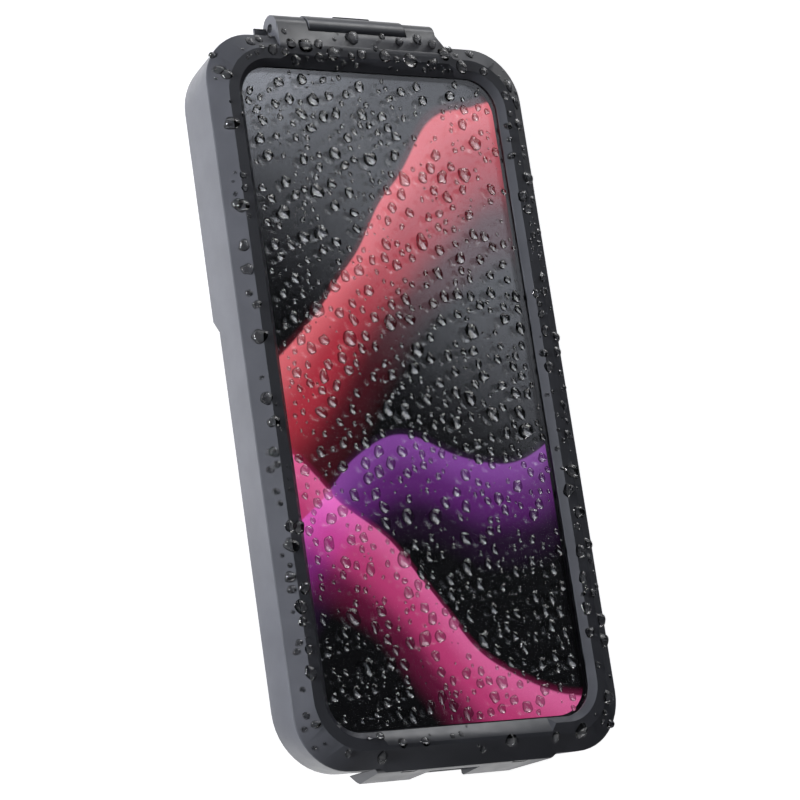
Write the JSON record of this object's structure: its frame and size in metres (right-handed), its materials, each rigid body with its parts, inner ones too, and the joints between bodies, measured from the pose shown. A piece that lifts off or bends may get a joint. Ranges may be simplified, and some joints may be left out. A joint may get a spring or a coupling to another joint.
{
  "type": "universal phone case",
  "caption": "Hinged weatherproof phone case with a clear touch window, bevelled frame, lever latch, rear lock socket and a handset in its bay.",
  "frame": {"origin": "middle of the footprint, on the surface that the case lies on, under its back", "axes": "+Z out of the window, +Y from the latch to the hinge, +X to the right of someone who faces the window with the hinge up"},
  "size_m": [0.0872, 0.1818, 0.0173],
  "materials": {
    "charcoal_plastic": "fine moulded satin charcoal, wet with rain drops",
    "black_plastic": "fine moulded black",
    "seal_rubber": "smooth dark silicone",
    "pad_foam": "fine closed-cell silicone foam",
    "clear_plastic": "clear and glossy, with rain drops on the front",
    "pin_steel": "plain bright steel",
    "handset_metal": "dark anodised",
    "handset_glass": "polished clear glass",
    "display_panel": "lit panel with soft crimson, pink and violet ribbons on black",
    "lens_glass": "dark coated glass"
  },
  "bodies": {
    "case": {"back_shell": "charcoal_plastic", "seal_gasket": "seal_rubber", "lock_socket": "black_plastic", "socket_screw_1": "pin_steel", "socket_screw_2": "pin_steel", "socket_screw_3": "pin_steel", "socket_screw_4": "pin_steel", "camera_window": "clear_plastic", "back_pad": "pad_foam", "camera_pad": "pad_foam", "hinge_pin": "pin_steel", "handset_body": "handset_metal", "handset_glass": "handset_glass", "handset_display": "display_panel", "handset_lens_1": "lens_glass", "handset_lens_2": "lens_glass"},
    "cover": {"cover_frame": "charcoal_plastic", "window_film": "clear_plastic", "film_retainer": "black_plastic", "latch_pin": "pin_steel"},
    "latch": {"latch_lever": "charcoal_plastic"}
  },
  "joints": [
    {"name": "cover_hinge", "type": "hinge", "parent": "case", "child": "cover", "pos_m": [0, 0.08628, 0.0127], "axis": [-1, 0, 0], "range_deg": [0, 115]},
    {"name": "latch_pivot", "type": "hinge", "parent": "cover", "child": "latch", "pos_m": [0, -0.08862, 0.0128], "axis": [-1, 0, 0], "range_deg": [0, 70]}
  ]
}
